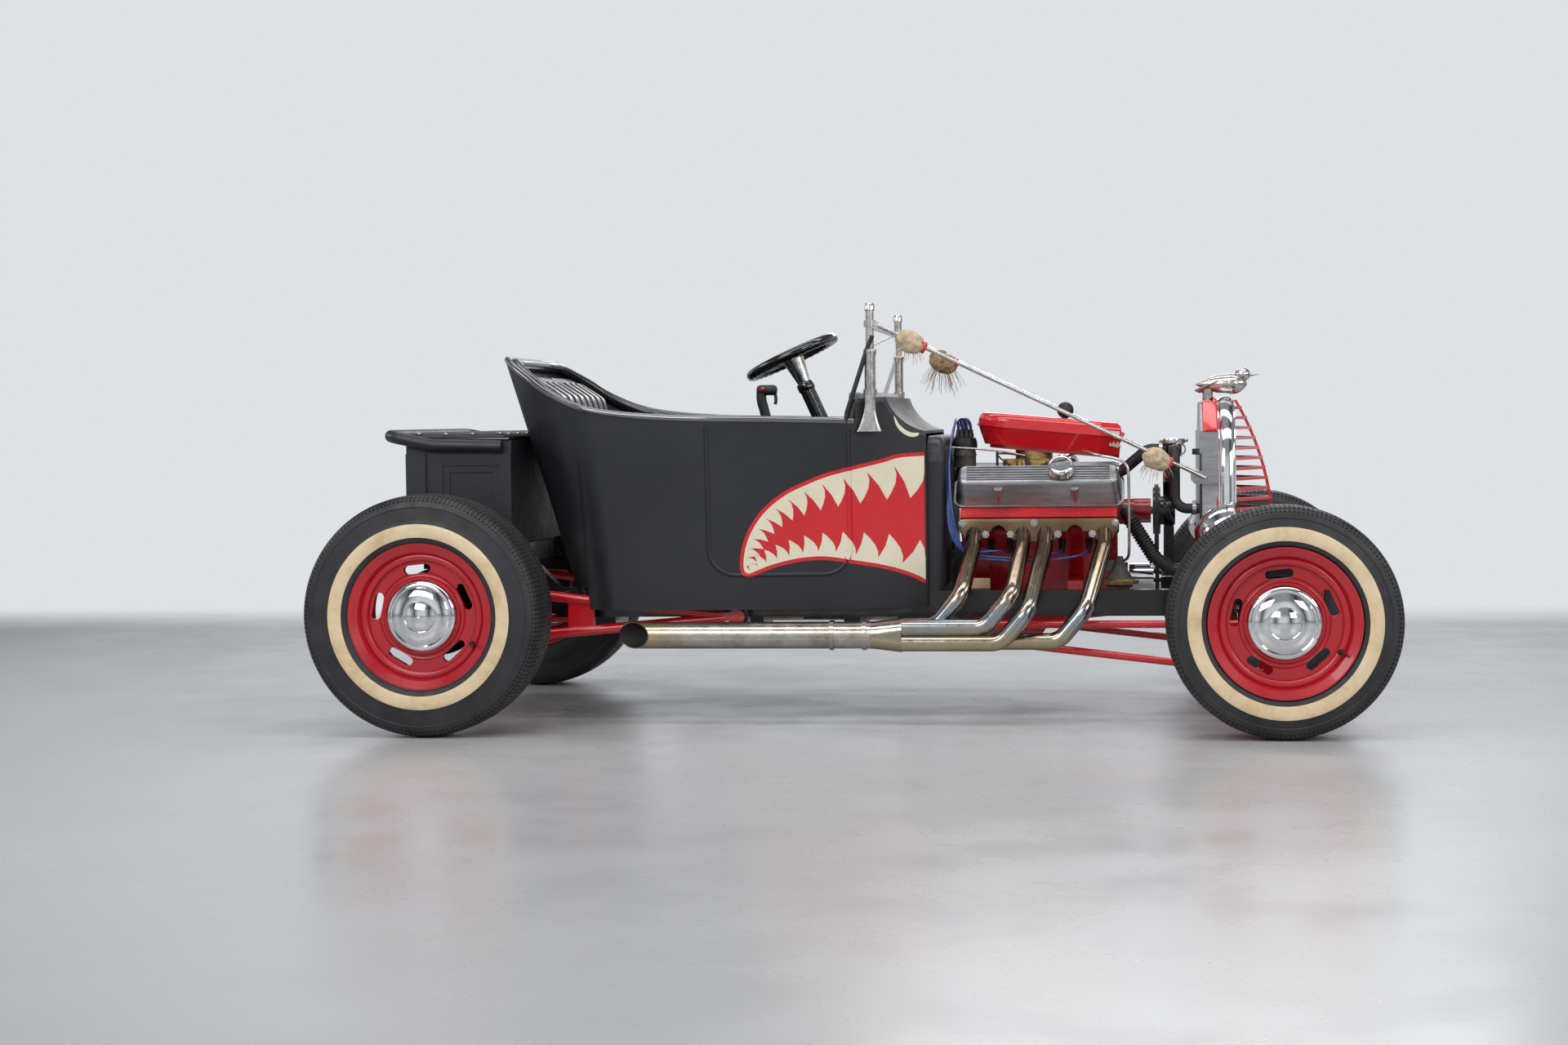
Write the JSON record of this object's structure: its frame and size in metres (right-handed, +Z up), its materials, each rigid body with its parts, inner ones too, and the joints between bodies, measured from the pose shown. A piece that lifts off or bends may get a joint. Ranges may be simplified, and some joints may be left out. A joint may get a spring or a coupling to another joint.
{
  "type": "street rod roadster",
  "caption": "Open two-seat street rod roadster with slotted wheels, exposed engine, outside exhaust pipes, upright windshield and short rear bed.",
  "frame": {"origin": "on the ground, below the middle of the bounding box", "axes": "+X towards the car's front, +Y towards its left side, +Z up"},
  "size_m": [3.0639, 1.686, 1.22],
  "materials": {
    "tyre_rubber": "black tyre rubber with a cream sidewall",
    "rim_red": "satin red paint",
    "chrome": "polished chrome plate",
    "frame_black": "gloss black paint",
    "body_black": "satin black paint over a moulded body",
    "engine_red": "gloss red engine enamel",
    "rod_red": "gloss red paint",
    "cast_aluminium": "as-cast aluminium with polished edges",
    "header_steel": "heat-stained plated steel",
    "pipe_steel": "dull plated steel tube",
    "cast_grey": "grey cast metal",
    "upholstery": "black pleated vinyl",
    "cover_black": "black vinyl cover cloth",
    "glass": "clear flat glass",
    "rubber": "black moulded rubber",
    "lens_red": "red lamp glass in a bright bezel",
    "carb_brass": "gold-passivated castings"
  },
  "bodies": {
    "chassis": {"air_cleaner": "rod_red", "air_cleaner_knob": "rubber", "bed_box": "body_black", "body_cowl": "body_black", "body_floor": "body_black", "body_rear": "body_black", "body_sides": "body_black", "breather_caps": "chrome", "dashboard": "upholstery", "engine_block": "engine_red", "engine_fittings": "cast_grey", "exhaust_pipes": "pipe_steel", "fan_belt": "rubber", "firewall": "body_black", "frame_brackets": "frame_black", "frame_crossmembers": "frame_black", "frame_rails": "frame_black", "front_axle": "rod_red", "gearbox_and_driveshaft": "cast_grey", "grille_bars": "rod_red", "grille_shell": "chrome", "headers": "header_steel", "headlamps": "chrome", "intake_and_carburettor": "carb_brass", "ornament": "chrome", "radiator": "cast_aluminium", "radiator_hoses": "rubber", "radius_rods": "rod_red", "rear_axle": "frame_black", "seat_back": "upholstery", "seat_cushion": "upholstery", "shifter": "chrome", "springs": "frame_black", "steering_column": "frame_black", "tail_lamps": "lens_red", "tonneau_cover": "cover_black", "valve_covers": "cast_aluminium", "water_pump": "engine_red", "windshield_frame": "chrome", "windshield_glass": "glass"},
    "wheel_assembly_front_right": {"wheel_front_right": "rim_red", "tyre_front_right": "tyre_rubber", "hub_cap_front_right": "chrome"},
    "wheel_assembly_front_left": {"wheel_front_left": "rim_red", "tyre_front_left": "tyre_rubber", "hub_cap_front_left": "chrome"},
    "wheel_assembly_rear_right": {"wheel_rear_right": "rim_red", "tyre_rear_right": "tyre_rubber", "hub_cap_rear_right": "chrome"},
    "wheel_assembly_rear_left": {"wheel_rear_left": "rim_red", "tyre_rear_left": "tyre_rubber", "hub_cap_rear_left": "chrome"},
    "knuckle_right_body": {"knuckle_right": "frame_black"},
    "knuckle_left_body": {"knuckle_left": "frame_black"},
    "tie_rod_body": {"tie_rod": "chrome"},
    "drag_link_body": {"drag_link": "chrome"},
    "pitman_body": {"pitman_arm": "frame_black"},
    "steering_wheel_body": {"steering_wheel": "cast_aluminium"},
    "fan_body": {"fan": "frame_black"},
    "crank_pulley_body": {"crank_pulley": "chrome"}
  },
  "joints": [
    {"name": "spin_front_right", "type": "hinge", "parent": "knuckle_right_body", "child": "wheel_assembly_front_right", "pos_m": [1.212, -0.723, 0.32], "axis": [0, 1, 0], "continuous": true},
    {"name": "spin_front_left", "type": "hinge", "parent": "knuckle_left_body", "child": "wheel_assembly_front_left", "pos_m": [1.212, 0.723, 0.32], "axis": [0, 1, 0], "continuous": true},
    {"name": "spin_rear_right", "type": "hinge", "parent": "chassis", "child": "wheel_assembly_rear_right", "pos_m": [-1.188, -0.725, 0.344], "axis": [0, 1, 0], "continuous": true},
    {"name": "spin_rear_left", "type": "hinge", "parent": "chassis", "child": "wheel_assembly_rear_left", "pos_m": [-1.188, 0.725, 0.344], "axis": [0, 1, 0], "continuous": true},
    {"name": "steer_left", "type": "hinge", "parent": "chassis", "child": "knuckle_left_body", "pos_m": [1.212, 0.59, 0.32], "axis": [0, 0, 1], "range_deg": [-25, 25]},
    {"name": "steer_right", "type": "hinge", "parent": "chassis", "child": "knuckle_right_body", "pos_m": [1.212, -0.59, 0.32], "axis": [0, 0, 1], "range_deg": [-25, 25]},
    {"name": "tie_rod_left_end", "type": "hinge", "parent": "knuckle_left_body", "child": "tie_rod_body", "pos_m": [1.092, 0.59, 0.225], "axis": [0, 0, 1], "range_deg": [-25, 25]},
    {"name": "drag_link_front_end", "type": "hinge", "parent": "knuckle_left_body", "child": "drag_link_body", "pos_m": [1.212, 0.48, 0.345], "axis": [0, 0, 1], "range_deg": [-25, 25]},
    {"name": "pitman_swing", "type": "hinge", "parent": "chassis", "child": "pitman_body", "pos_m": [0.12308, 0.338, 0.208], "axis": [0, 1, 0], "range_deg": [-25, 25]},
    {"name": "steering_wheel_turn", "type": "hinge", "parent": "chassis", "child": "steering_wheel_body", "pos_m": [-0.26, 0.25, 1.085], "axis": [0.4131, 0, -0.9107], "range_deg": [-300, 300]},
    {"name": "crank_turn", "type": "hinge", "parent": "chassis", "child": "crank_pulley_body", "pos_m": [0.87, 0, 0.4], "axis": [1, 0, 0], "continuous": true},
    {"name": "fan_turn", "type": "hinge", "parent": "chassis", "child": "fan_body", "pos_m": [0.9, 0, 0.6], "axis": [1, 0, 0], "continuous": true}
  ],
  "couplings": [
    {"joint": "steer_right", "follows": "steer_left", "ratio": 1},
    {"joint": "tie_rod_left_end", "follows": "steer_left", "ratio": -1},
    {"joint": "drag_link_front_end", "follows": "steer_left", "ratio": -1},
    {"joint": "pitman_swing", "follows": "steer_left", "ratio": 1},
    {"joint": "steering_wheel_turn", "follows": "steer_left", "ratio": 12},
    {"joint": "fan_turn", "follows": "crank_turn", "ratio": 1.1111}
  ]
}
